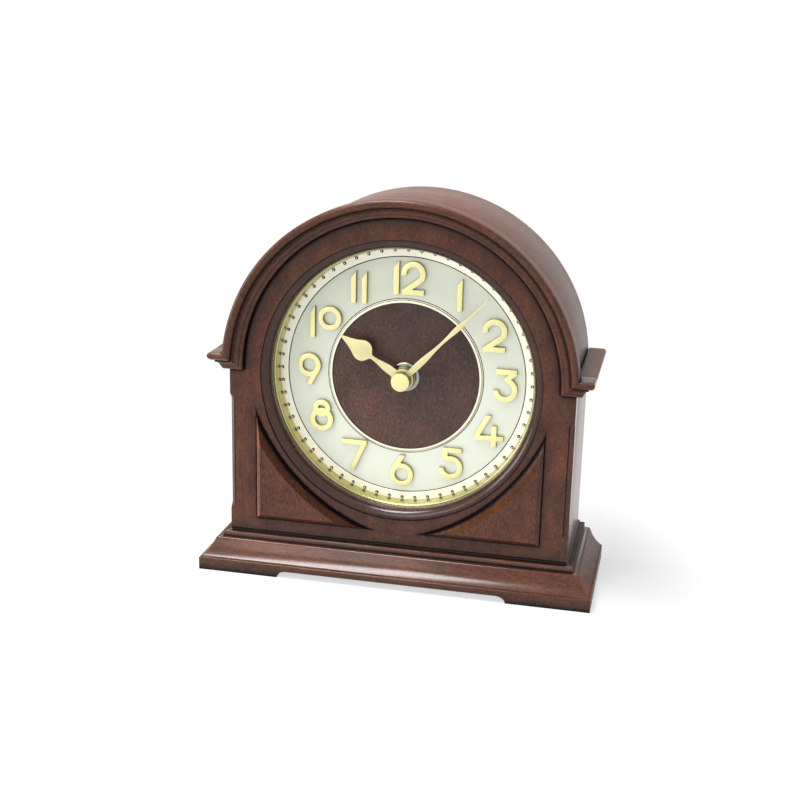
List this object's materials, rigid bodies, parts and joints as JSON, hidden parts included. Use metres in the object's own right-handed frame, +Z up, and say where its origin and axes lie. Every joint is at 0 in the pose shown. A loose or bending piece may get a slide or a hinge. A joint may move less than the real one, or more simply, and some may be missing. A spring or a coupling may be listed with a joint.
{
  "type": "mantel clock",
  "caption": "Round-arched wooden shelf clock: moulded plinth, cornice with side ears, gilt bezel, raised numerals, two hands on a quartz movement.",
  "frame": {"origin": "middle of the plinth's underside, on the surface that the clock stands on", "axes": "+Z up; the dial faces -Y; +X is to the right as seen from the front"},
  "size_m": [0.2, 0.074, 0.1939],
  "materials": {
    "stained_wood": "satin varnish, dark reddish brown",
    "plain_board": "matt",
    "polished_brass": "polished",
    "cream_metal": "gloss",
    "silver_ivory": "satin",
    "brown_dial": "satin",
    "pale_gold": "satin",
    "dial_back": "satin",
    "chromed": "polished",
    "black_rubber": "matt",
    "black_plastic": "matt",
    "white_plastic": "satin",
    "battery_sleeve": "gloss",
    "plated_steel": "satin",
    "yellow_brass": "satin",
    "green_board": "satin",
    "copper_wire": "gloss enamel",
    "black_screw": "satin"
  },
  "bodies": {
    "case": {"plinth": "stained_wood", "step_board": "stained_wood", "case_floor": "plain_board", "front_panel": "stained_wood", "side_left": "stained_wood", "side_right": "stained_wood", "arch_shell": "stained_wood", "back_panel": "stained_wood", "back_cleats": "plain_board", "arch_moulding": "stained_wood", "ear_left": "stained_wood", "ear_right": "stained_wood", "side_cornice_left": "stained_wood", "side_cornice_right": "stained_wood", "spandrel_left": "stained_wood", "spandrel_right": "stained_wood", "base_screws": "plated_steel", "back_screws": "black_screw", "bezel_screws": "plated_steel", "bezel": "polished_brass", "dial_plate": "dial_back", "minute_ring": "cream_metal", "chapter_ring": "silver_ivory", "centre_ring": "cream_metal", "centre_disc": "brown_dial", "dial_washer": "chromed", "dial_nut": "yellow_brass", "rubber_washer": "black_rubber", "movement_housing": "black_plastic", "movement_cover": "black_plastic", "battery": "battery_sleeve", "contact_plus": "plated_steel", "contact_minus": "plated_steel", "circuit_board": "green_board", "stator": "plated_steel", "coil": "copper_wire", "numeral_1": "pale_gold", "numeral_2": "pale_gold", "numeral_3": "pale_gold", "numeral_4": "pale_gold", "numeral_5": "pale_gold", "numeral_6": "pale_gold", "numeral_7": "pale_gold", "numeral_8": "pale_gold", "numeral_9": "pale_gold", "numeral_10": "pale_gold", "numeral_11": "pale_gold", "numeral_12": "pale_gold"},
    "minute_hand_group": {"minute_hand": "pale_gold", "hand_cap": "pale_gold", "minute_arbor": "yellow_brass"},
    "hour_hand_group": {"hour_hand": "pale_gold", "hour_wheel": "white_plastic"},
    "intermediate_group": {"intermediate_wheel": "white_plastic"},
    "knob_group": {"setting_knob": "black_plastic"},
    "rotor_group": {"rotor": "white_plastic"},
    "fifth_group": {"fifth_wheel": "white_plastic"},
    "seconds_group": {"seconds_wheel": "white_plastic"},
    "third_group": {"third_wheel": "white_plastic"},
    "centre_group": {"centre_wheel": "white_plastic"}
  },
  "joints": [
    {"name": "minute_hand_turn", "type": "hinge", "parent": "case", "child": "minute_hand_group", "pos_m": [0, -0.005, 0.1035], "axis": [0, 1, 0], "continuous": true},
    {"name": "hour_hand_turn", "type": "hinge", "parent": "case", "child": "hour_hand_group", "pos_m": [0, -0.005, 0.1035], "axis": [0, 1, 0], "continuous": true},
    {"name": "intermediate_turn", "type": "hinge", "parent": "case", "child": "intermediate_group", "pos_m": [-0.00742, -0.005, 0.11092], "axis": [0, 1, 0], "continuous": true},
    {"name": "setting_knob_turn", "type": "hinge", "parent": "case", "child": "knob_group", "pos_m": [-0.01792, -0.005, 0.11092], "axis": [0, 1, 0], "continuous": true},
    {"name": "rotor_turn", "type": "hinge", "parent": "case", "child": "rotor_group", "pos_m": [0.0162, -0.005, 0.1042], "axis": [0, 1, 0], "continuous": true},
    {"name": "fifth_wheel_turn", "type": "hinge", "parent": "case", "child": "fifth_group", "pos_m": [0.00965, -0.005, 0.1018], "axis": [0, 1, 0], "continuous": true},
    {"name": "seconds_wheel_turn", "type": "hinge", "parent": "case", "child": "seconds_group", "pos_m": [0, -0.005, 0.1035], "axis": [0, 1, 0], "continuous": true},
    {"name": "third_wheel_turn", "type": "hinge", "parent": "case", "child": "third_group", "pos_m": [0.005, -0.005, 0.11216], "axis": [0, 1, 0], "continuous": true},
    {"name": "centre_wheel_turn", "type": "hinge", "parent": "case", "child": "centre_group", "pos_m": [0, -0.005, 0.1035], "axis": [0, 1, 0], "continuous": true}
  ],
  "couplings": [
    {"joint": "hour_hand_turn", "follows": "minute_hand_turn", "ratio": 0.083333},
    {"joint": "intermediate_turn", "follows": "minute_hand_turn", "ratio": -0.33333},
    {"joint": "setting_knob_turn", "follows": "minute_hand_turn", "ratio": 1},
    {"joint": "fifth_wheel_turn", "follows": "rotor_turn", "ratio": -0.2},
    {"joint": "seconds_wheel_turn", "follows": "rotor_turn", "ratio": 0.033333},
    {"joint": "third_wheel_turn", "follows": "rotor_turn", "ratio": -0.0041667},
    {"joint": "centre_wheel_turn", "follows": "rotor_turn", "ratio": 0.00055556}
  ]
}
